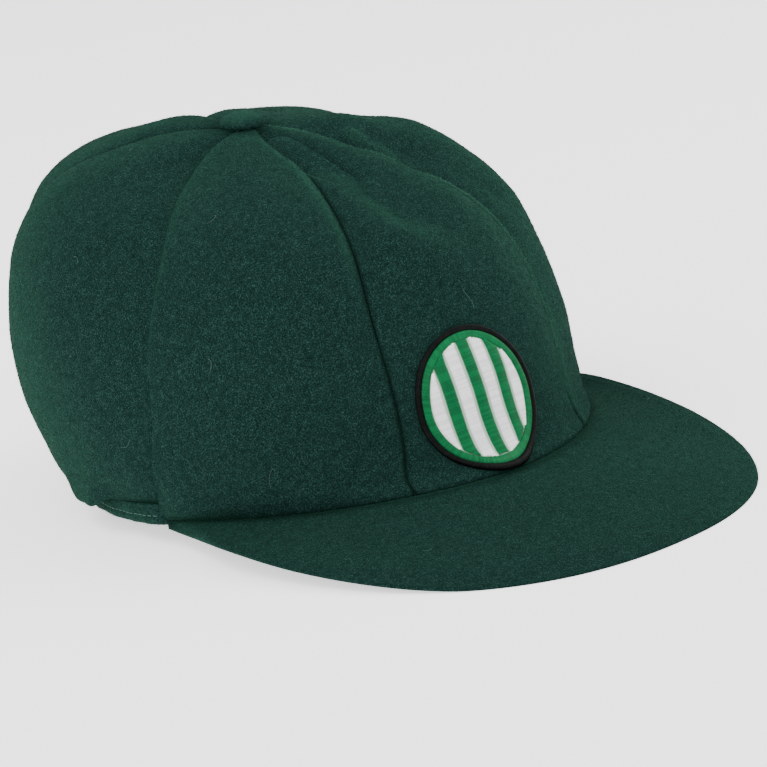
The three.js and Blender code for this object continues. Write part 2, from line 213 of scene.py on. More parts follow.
def ring_point(level, bearing):
    """A point of the crown before its gores puff."""
    height, shift, length, width, tip, _ = np.moveaxis(between(RINGS, level), -1, 0)
    angle = np.radians(bearing)
    forward, side = np.cos(angle), np.sin(angle)
    pointed = RIM_FRONT_POINT + (2 - RIM_FRONT_POINT) * np.minimum(level / POINTED_LEVELS, 1)
    power = np.where(forward > 0, pointed, 2)
    rounding = (np.abs(forward) ** power + np.abs(side) ** power) ** (-1 / power)
    along = length * HALF_LENGTH * forward * rounding
    across = width * HALF_WIDTH * side * rounding
    dip = np.radians(tip * CROWN_TIP)
    middle = shift * HALF_LENGTH
    return np.stack(
        [
            -across,
            -(middle + along * np.cos(dip)),
            height * CROWN_HEIGHT - along * np.sin(dip),
        ],
        axis=-1,
    )


def unit(vectors):
    """The same directions, one unit long."""
    return vectors / np.maximum(np.linalg.norm(vectors, axis=-1, keepdims=True), 1e-9)


def ring_normal(level, bearing):
    """The direction straight out of the crown before its gores puff."""
    step = 0.01
    up = np.minimum(level + step, TOP)
    rise = ring_point(up, bearing) - ring_point(up - 2 * step, bearing)
    turn = ring_point(level, bearing + 1) - ring_point(level, bearing - 1)
    return unit(np.cross(rise, turn))


def fold_rise(points, folds):
    """How far the folds lift or sink the cloth at each point."""
    total = np.zeros(points.shape[:-1])
    for bearing, level, to_bearing, to_level, rise, spread in folds:
        start = ring_point(np.array(float(level)), float(bearing))
        along = ring_point(np.array(float(to_level)), float(to_bearing)) - start
        share = np.clip((points - start) @ along / (along @ along), 0, 1)
        away = np.linalg.norm(points - start - share[..., None] * along, axis=-1)
        total += rise * PANEL_PUFF * np.exp(-((away / (spread * HALF_LENGTH)) ** 2))
    return total


def crown_skin(level, bearing, lean, start):
    """The crown's outer face, puffed, folded and gathered in to the hem."""
    point = ring_point(level, bearing)
    normal = ring_normal(level, bearing)
    roundness = 1 - np.abs(lean) ** PUFF_ROUNDNESS
    puff = between(RINGS, level)[..., PUFF_COLUMN] * PANEL_PUFF * roundness
    rear = smoothstep(-np.cos(np.radians(bearing)), 0, GATHER_TURN)
    above_foot = smoothstep(level - HEM_LEVEL * rear, 0, FOLD_FADE)
    below_top = 1 - smoothstep(level, TOP - SMOOTH_TOP, TOP)
    point = point + normal * (puff + fold_rise(point, FOLDS) * above_foot * below_top)[..., None]
    if start > 0:
        rim = ring_point(np.zeros_like(level), bearing)
        foot = ring_point(np.full_like(level, start), bearing)
        gather = (1 - np.minimum((level - start) / GATHER_LEVELS, 1)) ** 2
        point[..., :2] += (rim[..., :2] - point[..., :2]) * (gather * rear)[..., None]
        hang = np.where(level == start, 1, gather * GATHER_HANG)
        point[..., 2] += (foot[..., 2] - point[..., 2]) * hang
    return point, normal


# The gores. Each is cut from melton wool with a rounded outline and sewn to
# its neighbours right sides together, so that its edges roll down into the
# seam. The steam of the pressing leaves the thick cloth a little uneven.
GORES = [
    ("front_gore", "crown_panel_front", FRONT_LEFT, FRONT_RIGHT, 0),
    ("right_front_gore", "crown_panel_right_front", FRONT_RIGHT, SIDE_RIGHT, 0),
    ("right_rear_gore", "crown_panel_right_rear", SIDE_RIGHT, BACK_RIGHT, HEM_LEVEL),
    ("rear_gore", "crown_panel_rear", BACK_RIGHT, BACK_LEFT, HEM_LEVEL),
    ("left_rear_gore", "crown_panel_left_rear", BACK_LEFT, SIDE_LEFT, HEM_LEVEL),
    ("left_front_gore", "crown_panel_left_front", SIDE_LEFT, FRONT_LEFT, 0),
]
MILLIMETRE = 0.001
EDGE_STEPS = np.array([0, 0.12, 0.28, 0.5, 0.8, 1.15, 1.6, 2.2, 3.0, 4.2, 5.8]) * MILLIMETRE
NARROW_EDGES = 4
WIDTH_SAMPLES = 13
ACROSS_STEPS = 30
UP_STEPS = 112
FOOT_STEPS = 14
FOOT_CROWDING = 1.5
SLUMP = 0.0006
SLUMP_SIZE = 0.030
SLUMP_SEED = 3.1
FELTING = 0.00016
FELTING_SIZE = 0.0065
FELTING_SEED = 7.7
CALM_AWAY = 0.012
CALM_FOOT = 0.6
CALM_TOP = (TOP - 1.2, TOP - 0.2)
WELT_AWAY = 0.0022
WELT_STEEP = 0.0017
WELT_SOFT = 0.0052
# Painted highlight along the crests of the welts beside the seams.
WELT_HIGHLIGHT = 0.6
WELT_HIGHLIGHT_RISES = (0.0003, 0.0014)
CREASES_END = (TOP - 1.9, TOP - 0.6)
# Painted highlight on the creases' ridges and painted shade in their hollows.
CREASE_HIGHLIGHT = 0.2
CREASE_HIGHLIGHT_RISES = (0.0004, 0.0016)
HOLLOW_SHADE = -0.55
HOLLOW_SHADE_DEPTHS = (0.0006, 0.0032)

# How each seam lies at four heights, the rim, a third and two thirds of the
# way up, and the button: how wide the cloth rolls into it and how deep, or
# how high it stands as a ridge where that is below zero, how high a welt stands
# beside it on its left and on its right, seen from outside, all in millimetres,
# and how much painted highlight lies along it, or painted shade in the seam
# where that is below zero.
SEAM_FORMS = {
    FRONT_RIGHT: [
        (1.0, 0.8, 0.0, 0.0, -0.9),
        (1.0, 0.8, 0.1, 0.1, -0.8),
        (1.2, 1.0, 0.9, -0.6, -0.6),
        (2.0, 1.2, 1.0, -0.6, 0.3),
    ],
    FRONT_LEFT: [
        (1.2, 0.5, 0.2, 0.6, -0.4),
        (1.2, 0.2, 0.4, 0.8, 0.6),
        (2.4, -0.5, 0.0, 0.0, 1.0),
        (2.0, -0.1, 0.1, 0.3, 0.7),
    ],
    SIDE_RIGHT: [
        (0.9, 0.2, 0.0, 0.0, -0.3),
        (1.0, 0.06, 0.1, 0.1, 0.0),
        (1.6, 0.12, 0.1, 0.5, 0.1),
        (2.4, 1.0, 0.1, 0.6, 0.2),
    ],
    BACK_RIGHT: [
        (1.2, 0.6, 0.0, 0.0, -0.5),
        (1.3, 0.6, 0.1, 0.1, -0.3),
        (1.6, 0.8, 0.3, 0.3, 0.1),
        (2.2, 1.2, 0.4, 0.3, 0.3),
    ],
    BACK_LEFT: [
        (1.2, 0.6, 0.0, 0.0, -0.6),
        (1.3, 0.7, 0.1, 0.1, -0.5),
        (1.6, 0.8, 0.2, 0.3, -0.3),
        (2.2, 1.2, 0.3, 0.4, 0.1),
    ],
    SIDE_LEFT: [
        (1.0, 0.5, 0.0, 0.0, -0.6),
        (1.2, 0.6, 0.1, 0.1, -0.5),
        (1.6, 0.8, 0.3, 0.2, -0.3),
        (2.2, 1.2, 0.4, 0.3, 0.1),
    ],
}
ROLL_WIDE, ROLL_DEEP, LEFT_WELT, RIGHT_WELT, SEAM_SHADING = range(5)
SEAM_HEIGHTS = 4
SEAM_SHADING_WIDE = 0.0009
# Painted shade at each gore's foot, where it meets the peak or the hem.
FOOT_SHADE = -0.8
FOOT_SHADE_TALL = 0.0022
# Painted shade on the gores round and under the button.
UNDER_BUTTON_SHADE = -0.7
UNDER_BUTTON = (TOP - 1.5, TOP - 1)

# Small creases and ridges in the wool, each as bearing and level of its two
# ends, then its rise as a share of the puff and its spread as a share of half
# the rim's length. The ridges get a painted highlight and the hollows a painted
# shade.
CREASES = [
    (-9, 7.4, -6, 6.2, -0.70, 0.056),
    (6.5, 6.7, 2.5, 6.1, 0.20, 0.028),
    (2.5, 6.1, 5.5, 5.3, 0.22, 0.034),
    (5.5, 5.3, 3, 4.7, 0.18, 0.045),
    (-2, 5.9, -3, 5.3, -0.30, 0.055),
    (-66, 7.1, -47.5, 6.6, 0.26, 0.032),
    (-47.5, 6.6, -38, 6.1, 0.22, 0.032),
    (-60, 6.0, -52, 4.7, 0.24, 0.035),
    (-47, 6.0, -46, 4.9, -0.20, 0.045),
    (-70, 5.2, -60, 3.6, 0.16, 0.060),
    (35, 7.6, 33, 6.6, 0.14, 0.060),
    (88, 7.4, 92, 6.4, 0.20, 0.060),
    (104, 1.15, 76, 1.40, -0.12, 0.030),
    (96, 1.9, 80, 1.9, 0.10, 0.040),
    (-128, 6.65, -158, 6.65, -0.30, 0.140),
]

# The cloth rolls under where it meets the peak or the hem. Over the hem the
# elastic gathers it in small puckers, and at the sides slack cloth hangs over
# the hem. The four bearings are where it begins, is whole, begins to end and
# ends.
FOOT_ROLL = 0.0046
FOOT_DEPTH = 0.0017
HEM_FOOT_DEPTH = 0.0009
FOOT_SINK = 0.0006
FOOT_THINNED = 0.3
HANG_OUT = 0.0026
HANG_DOWN = 0.0048
HANG_LIP = 0.0030
HANG_TALL = 0.011
HANG_RIGHT = (90, 98, 106, 126)
HANG_LEFT = (-130, -110, -102, -92)
HANG_UNEVEN = 0.3
HANG_UNEVEN_SIZE = 0.014
HANG_UNEVEN_STRETCH = [1, 1, 0.3]
HANG_UNEVEN_SEED = 1.7
PUCKER = 0.0007
PUCKER_SIZE = 0.0075
PUCKER_STRETCH = [1, 1, 0.25]
PUCKER_SEED = 5.2
PUCKER_LEVELS = (0.1, 1.3)


def wavy(points, size, seed):
    """Even noise from -1 to 1 at each point, with bumps of the given size."""
    flat = points.reshape(-1, 3) / size + seed
    values = [noise.noise(Vector(point)) for point in flat]
    return np.array(values).reshape(points.shape[:-1])


def uneven(skin, level, away, start):
    """How far the steamed cloth stands off its even shape, calm at the seams."""
    free = smoothstep(away, 0, CALM_AWAY) * (1 - smoothstep(level, *CALM_TOP))
    free = free * smoothstep(level - start, 0, CALM_FOOT)
    slump = wavy(skin, SLUMP_SIZE, SLUMP_SEED) * SLUMP
    felting = wavy(skin, FELTING_SIZE, FELTING_SEED) * FELTING
    return (slump + felting) * free


def hanging(bearing):
    """The share of the slack roll that hangs over the hem, round the back."""
    turned = (bearing + 180) % 360 - 180
    share = np.zeros_like(turned)
    for begins, whole, still, ends in (HANG_RIGHT, HANG_LEFT):
        share += smoothstep(turned, begins, whole) * (1 - smoothstep(turned, still, ends))
    return share


def rolled(away, radius):
    """How far a rounded edge has dropped, from 1 at the edge to 0 inside."""
    return 1 - np.sqrt(1 - (1 - np.minimum(away / radius, 1)) ** 2)


def gore_surface(first, second, start):
    """A gore's outer and inner faces, as grids of points, and its painted highlight and shade."""
    foot = start + HEM_LEVEL * np.linspace(0, 1, FOOT_STEPS + 1)[:-1] ** FOOT_CROWDING
    levels = np.concatenate([foot, np.linspace(start + HEM_LEVEL, TOP, UP_STEPS)])
    seams = between(SEAMS, levels)
    low, high = seams[:, first], seams[:, second]
    high = np.where(high < low, high + 360, high)
    coarse = low[:, None] + (high - low)[:, None] * np.linspace(0, 1, WIDTH_SAMPLES)
    spread = ring_point(levels[:, None] + 0 * coarse, coarse)
    width = np.linalg.norm(np.diff(spread, axis=1), axis=-1).sum(axis=1)[:, None]
    # Towards the button the gore narrows, and its edge steps draw together.
    small = np.minimum(width / (EDGE_STEPS[-1] * NARROW_EDGES), 1)
    edge = EDGE_STEPS[None, :] * small / width
    inner_steps = np.linspace(0, 1, ACROSS_STEPS + 1)[1:-1]
    inner = edge[:, -1:] + (1 - 2 * edge[:, -1:]) * inner_steps
    share = np.concatenate([edge, inner, 1 - edge[:, ::-1]], axis=1)[:, ::-1]
    bearing = low[:, None] + (high - low)[:, None] * share
    level = levels[:, None] + 0 * share
    skin, normal = crown_skin(level, bearing, 2 * share - 1, start)
    height = levels / TOP * (SEAM_HEIGHTS - 1)
    lift = np.zeros_like(share)
    highlight_and_shade = np.zeros_like(share)
    sides = ((first, share * width, LEFT_WELT), (second, (1 - share) * width, RIGHT_WELT))
    for seam, away, side in sides:
        form = between(np.array(SEAM_FORMS[seam]), height)[:, None, :]
        columns = (ROLL_WIDE, ROLL_DEEP, side)
        radius, depth, welt = (form[..., column] * MILLIMETRE * small for column in columns)
        lift -= depth * rolled(away, radius)
        beyond = (away - WELT_AWAY * small) / small
        lift += welt * np.exp(-((beyond / np.where(beyond < 0, WELT_STEEP, WELT_SOFT)) ** 2))
        # Painted highlight along each welt's crest.
        highlight_and_shade += WELT_HIGHLIGHT * np.exp(-((beyond / WELT_STEEP) ** 2)) * smoothstep(welt, *WELT_HIGHLIGHT_RISES)
        # Painted highlight or painted shade along the seam itself.
        highlight_and_shade += form[..., SEAM_SHADING] * np.exp(-((away / SEAM_SHADING_WIDE) ** 2))
    bulge = uneven(skin, level, np.minimum(share, 1 - share) * width, start)
    lift += bulge
    creased = fold_rise(skin, CREASES) * (1 - smoothstep(level, *CREASES_END))
    lift += creased
    # Painted highlight on the crease ridges and painted shade in their hollows.
    highlight_and_shade += CREASE_HIGHLIGHT * smoothstep(creased, *CREASE_HIGHLIGHT_RISES)
    highlight_and_shade += HOLLOW_SHADE * smoothstep(-creased, *HOLLOW_SHADE_DEPTHS)
    above = np.linalg.norm(np.diff(skin, axis=0), axis=-1).cumsum(axis=0)
    above = np.vstack([np.zeros_like(above[:1]), above])
    # Painted shade at the foot, where the gore meets the peak or the hem.
    highlight_and_shade += FOOT_SHADE * (1 - smoothstep(above, 0, FOOT_SHADE_TALL))
    # Painted shade round and under the button.
    highlight_and_shade += UNDER_BUTTON_SHADE * smoothstep(level, *UNDER_BUTTON)
    rear = smoothstep(-np.cos(np.radians(bearing)), 0, GATHER_TURN)
    fade = (1 - smoothstep(level - start, *PUCKER_LEVELS)) * rear
    lift += wavy(skin * PUCKER_STRETCH, PUCKER_SIZE, PUCKER_SEED) * PUCKER * fade
    deep = HEM_FOOT_DEPTH if start > 0 else FOOT_DEPTH
    foot_drop = (deep * rolled(above, FOOT_ROLL))[..., None]
    outward = unit(normal * [1, 1, 0])
    outer = skin + normal * lift[..., None] - outward * foot_drop
    if start > 0:
        waves = wavy(skin * HANG_UNEVEN_STRETCH, HANG_UNEVEN_SIZE, HANG_UNEVEN_SEED)
        slack = hanging(bearing) * (1 + HANG_UNEVEN * waves)
        taken_up = 1 - smoothstep(above, HANG_LIP, HANG_TALL)
        out_roll = HANG_OUT * slack * smoothstep(above, 0, HANG_LIP / 2) * taken_up
        outer += outward * out_roll[..., None]
        outer[..., 2] -= HANG_DOWN * slack * smoothstep(above, 0, HANG_LIP) * taken_up
    else:
        outer[..., 2] -= FOOT_SINK * (1 - smoothstep(above, 0, HANG_LIP))
    thick = CLOTH * (1 - FOOT_THINNED * rolled(above, FOOT_ROLL))[..., None]
    inner_face = skin + normal * bulge[..., None] - outward * foot_drop - normal * thick
    return outer, inner_face, np.clip(highlight_and_shade, -1, 1)


def closed_sheet(name, front, back, highlight_and_shade=None):
    """A thick sheet between two grids of points, closed round its border."""
    rows, columns = front.shape[:2]
    corner = np.arange(rows * columns).reshape(rows, columns)
    quads = np.stack([corner[:-1, :-1], corner[:-1, 1:], corner[1:, 1:], corner[1:, :-1]], axis=-1)
    faces = quads.reshape(-1, 4)
    behind = faces[:, ::-1] + rows * columns
    border = np.concatenate([corner[0], corner[1:, -1], corner[-1, -2::-1], corner[-2::-1, 0]])
    far = border + rows * columns
    rim = np.stack([far[:-1], far[1:], border[1:], border[:-1]], axis=-1)
    mesh = bpy.data.meshes.new(name)
    points = np.concatenate([front.reshape(-1, 3), back.reshape(-1, 3)])
    mesh.from_pydata(laid(points).tolist(), [], np.concatenate([faces, behind, rim]).tolist())
    mesh.shade_smooth()
    # The attribute holds painted highlight above zero and painted shade below zero, on the front face
    # only.
    painted_light = mesh.attributes.new("highlight_and_shade", "FLOAT", "POINT")
    if highlight_and_shade is not None:
        painted_light.data.foreach_set("value", np.concatenate([highlight_and_shade.ravel(), 0 * highlight_and_shade.ravel()]))
    piece = bpy.data.objects.new(name, mesh)
    bpy.context.scene.collection.objects.link(piece)
    return piece


# The wool's flecks are fine noise with a share of broader noise in it, and
# these are the heights of the noise where each of its three tones lies.
BROAD_SHARE = 0.16
DARK_AT = 0.37
MIDDLING_AT = 0.53
LIGHT_AT = 0.67


def wool(name, dark, middling, light, painted_light, painted_shade):
    """Melton wool: dark felt flecked with lighter fibre ends, a soft sheen, and a painted highlight and
    painted shade where its mesh asks.
    """
    material = bpy.data.materials.new(name)
    material.use_nodes = True
    nodes = material.node_tree.nodes
    links = material.node_tree.links
    shader = nodes["Principled BSDF"]
    shader.inputs["Roughness"].default_value = 1
    shader.inputs["Specular IOR Level"].default_value = 0.03
    shader.inputs["Sheen Weight"].default_value = 0.11
    shader.inputs["Sheen Roughness"].default_value = 0.34
    shader.inputs["Sheen Tint"].default_value = (0.12, 0.66, 0.34, 1)
    place = nodes.new("ShaderNodeTexCoord")

    def speckle(scale, detail, roughness):
        texture = nodes.new("ShaderNodeTexNoise")
        texture.inputs["Scale"].default_value = scale
        texture.inputs["Detail"].default_value = detail
        texture.inputs["Roughness"].default_value = roughness
        links.new(place.outputs["Object"], texture.inputs["Vector"])
        return texture.outputs["Fac"]

    def mixed(kind, share, first, second):
        node = nodes.new("ShaderNodeMix")
        node.data_type = kind
        sockets = [socket for socket in node.inputs if socket.enabled]
        for socket, value in zip(sockets, (share, first, second)):
            if isinstance(value, bpy.types.NodeSocket):
                links.new(value, socket)
            else:
                socket.default_value = value
        return [socket for socket in node.outputs if socket.enabled][0]

    fine = speckle(scale=2300, detail=2, roughness=0.6)
    broad = speckle(scale=420, detail=2, roughness=0.5)
    felt = mixed("FLOAT", BROAD_SHARE, fine, broad)
    ramp = nodes.new("ShaderNodeValToRGB")
    ramp.color_ramp.elements[0].position = DARK_AT
    ramp.color_ramp.elements[0].color = (*dark, 1)
    ramp.color_ramp.elements[1].position = LIGHT_AT
    ramp.color_ramp.elements[1].color = (*light, 1)
    ramp.color_ramp.elements.new(MIDDLING_AT).color = (*middling, 1)
    links.new(felt, ramp.inputs["Fac"])
    # A painted highlight colour is mixed in where the mesh's attribute is above zero, and a painted
    # shade colour where it is below.
    highlight_and_shade = nodes.new("ShaderNodeAttribute")
    highlight_and_shade.attribute_name = "highlight_and_shade"
    highlighted = mixed("RGBA", highlight_and_shade.outputs["Fac"], ramp.outputs["Color"], (*painted_light, 1))
    shade_share = nodes.new("ShaderNodeMath")
    shade_share.operation = "MULTIPLY"
    shade_share.inputs[1].default_value = -1
    links.new(highlight_and_shade.outputs["Fac"], shade_share.inputs[0])
    shaded = mixed("RGBA", shade_share.outputs["Value"], highlighted, (*painted_shade, 1))
    links.new(shaded, shader.inputs["Base Color"])
    bump = nodes.new("ShaderNodeBump")
    bump.inputs["Strength"].default_value = 0.6
    bump.inputs["Distance"].default_value = 0.0008
    links.new(felt, bump.inputs["Height"])
    links.new(bump.outputs["Normal"], shader.inputs["Normal"])
    return material


# Its last two colours are a painted highlight and a painted shade.
crown_wool = wool(
    "crown_wool",
    dark=(0.0026, 0.0104, 0.0088),
    middling=(0.0064, 0.0220, 0.0182),
    light=(0.0220, 0.0590, 0.0480),
    painted_light=(0.0270, 0.0950, 0.0600),
    painted_shade=(0.0016, 0.0065, 0.0054),
)
gore_faces = {}
for name, node, first, second, start in GORES:
    outer, inner_face, highlight_and_shade = gore_surface(first, second, start)
    gore = closed_sheet(name, outer, inner_face, highlight_and_shade)
    gore.data.materials.append(crown_wool)
    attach(gore, "root")
    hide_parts(node)
    gore_faces[name] = outer

# The nap on the gores. Melton is milled and brushed, so that a thin layer of
# loose wool fibre ends lies over its face in all directions. They are part of
# the cloth itself.
GORE_FIBRES = 18500
FIBRE_LENGTHS = (0.0005, 0.0014)
FIBRE_THICK = 0.00008
FIBRE_LIFTS = (4, 34)
FIBRE_ROOT = 0.00006
FIBRE_SHARES = (0.3, 0.5, 0.2, 0)
SLIVER = np.array([[0, 2, 1], [0, 1, 3], [1, 2, 3], [2, 0, 3]])


def fibre_wool(name, colour):
    """Matt wool of one colour, for single fibres."""
    material = bpy.data.materials.new(name)
    material.use_nodes = True
    shader = material.node_tree.nodes["Principled BSDF"]
    shader.inputs["Base Color"].default_value = (*colour, 1)
    shader.inputs["Roughness"].default_value = 0.8
    shader.inputs["Specular IOR Level"].default_value = 0.08
    return material


fibre_kinds = [
    fibre_wool("dark_fibre", (0.0022, 0.0095, 0.0074)),
    fibre_wool("green_fibre", (0.0085, 0.0310, 0.0240)),
    fibre_wool("light_fibre", (0.0250, 0.0770, 0.0600)),
    # A painted highlight: the brightest fibres, used only along the ridge of the left front seam.
    fibre_wool("ridge_highlight_fibre", (0.0500, 0.1700, 0.1050)),
]


def brushed(name, face, count, seed, lifts=FIBRE_LIFTS, shares=FIBRE_SHARES):
    """Fibre ends over a grid of points, each a thin sliver with one sharp tip."""
    draw = np.random.default_rng(seed)
    a, b, c, d = face[:-1, :-1], face[:-1, 1:], face[1:, 1:], face[1:, :-1]
    across = np.cross(c - a, d - b).reshape(-1, 3)
    area = np.linalg.norm(across, axis=1)
    cell = draw.choice(len(area), count, p=area / area.sum())
    u, v = draw.random((2, count, 1))
    a, b, c, d = (corner.reshape(-1, 3)[cell] for corner in (a, b, c, d))
    place = (a * (1 - u) + b * u) * (1 - v) + (d * (1 - u) + c * u) * v
    normal = unit(across[cell])
    along = unit(np.cross(normal, draw.normal(size=(count, 3))))
    aside = np.cross(normal, along)
    lift = np.radians(draw.uniform(*lifts, (count, 1)))
    length = draw.uniform(*FIBRE_LENGTHS, (count, 1))
    half = FIBRE_THICK / 2
    root = place - normal * FIBRE_ROOT
    tip = root + (along * np.cos(lift) + normal * np.sin(lift)) * length
    points = np.stack([root + aside * half, root - aside * half, root + normal * 2 * half, tip], axis=1)
    faces = SLIVER + points.shape[1] * np.arange(count)[:, None, None]
    mesh = bpy.data.meshes.new(name)
    mesh.from_pydata(laid(points.reshape(-1, 3)), [], faces.reshape(-1, 3))
    for kind in fibre_kinds:
        mesh.materials.append(kind)
    kinds = draw.choice(len(fibre_kinds), count, p=shares)
    mesh.polygons.foreach_set("material_index", np.repeat(kinds, len(SLIVER)))
    mesh.shade_smooth()
    piece = bpy.data.objects.new(name, mesh)
    bpy.context.scene.collection.objects.link(piece)
    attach(piece, "root")
    return piece


for seed, (name, face) in enumerate(gore_faces.items()):
    brushed(f"{name}_nap", face, GORE_FIBRES, seed)

# The nap stands up higher where the seams bend the cloth, from these rows of
# a gore's points upward, over these columns beside its first or second seam.
FUZZ_LIFTS = (15, 60)
# Most fibres standing up along the seams are light ones, and along the left front seam half are the
# brightest: a painted highlight on the seam ridges.
FUZZ_SHARES = (0, 0.3, 0.7, 0)
RIDGE_SHARES = (0, 0.1, 0.4, 0.5)
FUZZ_SEED = 50
FUZZ_STRIPS = [
    ("left_front_gore", 36, slice(0, 5), 9000, RIDGE_SHARES),
    ("front_gore", 36, slice(-5, None), 7000, RIDGE_SHARES),
    ("right_front_gore", 0, slice(-9, -5), 1500, FUZZ_SHARES),
    ("left_front_gore", 0, slice(-9, -5), 1200, FUZZ_SHARES),
    ("right_front_gore", 0, slice(5, 9), 600, FUZZ_SHARES),
    ("right_rear_gore", 0, slice(-9, -5), 900, FUZZ_SHARES),
]
for number, (name, first_row, columns, count, shares) in enumerate(FUZZ_STRIPS):
    strip = gore_faces[name][first_row:, columns]
    brushed(f"{name}_fuzz_{number + 1}", strip, count, FUZZ_SEED + number, FUZZ_LIFTS, shares)

# The peak. A stiff board covered with the same wool above and below, the two
# covers bagged out round its edge. It is sewn to the crown's front edge.
PEAK_ENDS = 0.05
PEAK_END_ROUND = 0.03
PEAK_END_THIN = 0.3
PEAK_ALONG = 150
PEAK_CROWDING = 1.25
PEAK_OUT = 34
PEAK_BORDER = 0.06
PEAK_BORDER_STEPS = 10
PEAK_THINS_FROM = 0.012
PEAK_EDGE_ROUND = 0.0011
PEAK_EDGE_LEAST = 0.06
PEAK_WAVE = 0.0005
PEAK_WAVE_SIZE = 0.045
PEAK_WAVE_SEED = 11.3
PEAK_WAVE_FROM = (0.1, 0.5)
# The peak's top is a little darker all over, with painted shade along its root where the crown's foot
# overhangs it.
PEAK_DARKER = -0.12
PEAK_ROOT_SHADE = -0.6
PEAK_ROOT_SHADE_WIDE = (0.0025, 0.0055)
PEAK_TOP_FIBRES = 24000
PEAK_UNDER_FIBRES = 6000

lean = np.linspace(1, -1, PEAK_ALONG + 1)
lean = np.sign(lean) * (1 - (1 - np.abs(lean)) ** PEAK_CROWDING)
root = ring_point(np.zeros(PEAK_ALONG + 1), (SEAMS[0, SIDE_RIGHT] - PEAK_ENDS) * lean)
root = root * (1 - CLOTH / np.linalg.norm(root, axis=-1, keepdims=True))
root[:, 2] = -PEAK_THICK / 2 - SEAM_GAP
rim_line = peak_edge(90 * lean)
border_steps = 1 - PEAK_BORDER * (1 - np.linspace(0, 1, PEAK_BORDER_STEPS)[1:]) ** 2
out = np.concatenate([np.linspace(0, 1 - PEAK_BORDER, PEAK_OUT), border_steps])
out = out[::-1, None, None]
middle = root + (rim_line - root) * out
left_over = np.linalg.norm((rim_line - root) * (1 - out), axis=-1)
stiff = smoothstep(left_over, 0, PEAK_THINS_FROM)
half = PEAK_THICK / 2 * (PEAK_EDGE_THIN + (1 - PEAK_EDGE_THIN) * stiff)
round_edge = np.sqrt(1 - (1 - np.minimum(left_over / PEAK_EDGE_ROUND, 1)) ** 2)
half = half * (PEAK_EDGE_LEAST + (1 - PEAK_EDGE_LEAST) * round_edge)
round_end = np.sqrt(1 - (1 - np.minimum((1 - np.abs(lean)) / PEAK_END_ROUND, 1)) ** 2)
half = half * (PEAK_END_THIN + (1 - PEAK_END_THIN) * round_end)
wave = wavy(middle, PEAK_WAVE_SIZE, PEAK_WAVE_SEED) * PEAK_WAVE
wave = wave * smoothstep(out[..., 0], *PEAK_WAVE_FROM)
rise = np.zeros_like(middle)
rise[..., 2] = 1
peak_top = middle + rise * (wave + half)[..., None]
peak_under = middle + rise * (wave - half)[..., None]
from_root = np.linalg.norm((rim_line - root) * out, axis=-1)
# Painted shade along the root under the crown's foot, on a top a little darker all over.
peak_darkening = PEAK_DARKER + PEAK_ROOT_SHADE * (1 - smoothstep(from_root, *PEAK_ROOT_SHADE_WIDE))
peak = closed_sheet("peak_covers", peak_top, peak_under, peak_darkening)
peak.data.materials.append(crown_wool)
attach(peak, "root")
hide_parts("peak")
brushed("peak_top_nap", peak_top, PEAK_TOP_FIBRES, seed=11)
brushed("peak_under_nap", peak_under[:, ::-1], PEAK_UNDER_FIBRES, seed=12)

# The hem. Round the back the cloth is turned up inside over an elastic, with
# one row of stitches, so it is a round, slightly gathered edge.
HEM_THICK = 0.0036
HEM_SWELL = 0.0008
HEM_ALONG = 260
HEM_UP = 22
HEM_PUCKER = 0.0005
HEM_PUCKER_SIZE = 0.006
HEM_PUCKER_STRETCH = [1, 1, 0.2]
HEM_UNDER = 1.3
HEM_END = 2.2
HEM_END_DEEP = 0.0022
HEM_FLUSH = 0.0011
HEM_TURN = 0.2
HEM_TURN_DEEP = 0.0014
HEM_FIBRES = 5000
STITCH_UP = 0.0039
STITCH_DENT = 0.0004
STITCH_DENT_WIDE = 0.0007

hem_tall = RINGS[HEM_LEVEL, HEIGHT_COLUMN] * CROWN_HEIGHT - SEAM_GAP + HEM_DROP
hem_dip = math.sin(math.radians(RINGS[HEM_LEVEL, TIP_COLUMN] * CROWN_TIP))
hem_ends = (360 + SEAMS[0, SIDE_LEFT] + HEM_UNDER, SEAMS[0, SIDE_RIGHT] - HEM_UNDER)


def hem_faces(bearing, share):
    """The hem's outer and inner faces at a share of its height."""
    line = ring_point(np.zeros_like(bearing), bearing)
    outward = unit(line * [1, 1, 0])
    groove = np.exp(-(((share * hem_tall - STITCH_UP) / STITCH_DENT_WIDE) ** 2))
    bulge = HEM_SWELL * np.sin(math.pi * share) - STITCH_DENT * groove
    rear = smoothstep(-np.cos(np.radians(bearing)), 0, GATHER_TURN)
    bulge += HEM_FLUSH * share * (1 - rear)
    from_end = np.minimum(hem_ends[0] - bearing, bearing - hem_ends[1])
    bulge -= HEM_END_DEEP * (1 - smoothstep(from_end, 0, HEM_END))
    turned = HEM_TURN_DEEP * (1 - np.sqrt(1 - np.maximum(0, 1 - share / HEM_TURN) ** 2))
    face = line + 0.0
    face[..., 2] = -HEM_DROP + share * hem_tall
    face[..., 2] += share * line[..., 1] * hem_dip
    pucker = wavy(face * HEM_PUCKER_STRETCH, HEM_PUCKER_SIZE, PUCKER_SEED) * HEM_PUCKER
    outer = face + outward * (bulge - turned + pucker)[..., None]
    inner = face + outward * (turned + pucker - HEM_THICK)[..., None]
    return outer, inner, outward


hem_bearing, hem_share = np.meshgrid(np.linspace(*hem_ends, HEM_ALONG + 1), np.linspace(0, 1, HEM_UP))
hem_outer, hem_inner, _ = hem_faces(hem_bearing, hem_share)
hem = closed_sheet("turned_hem", hem_outer, hem_inner)
hem.data.materials.append(crown_wool)
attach(hem, "root")
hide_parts("rear_hem")
brushed("hem_nap", hem_outer, HEM_FIBRES, seed=13)

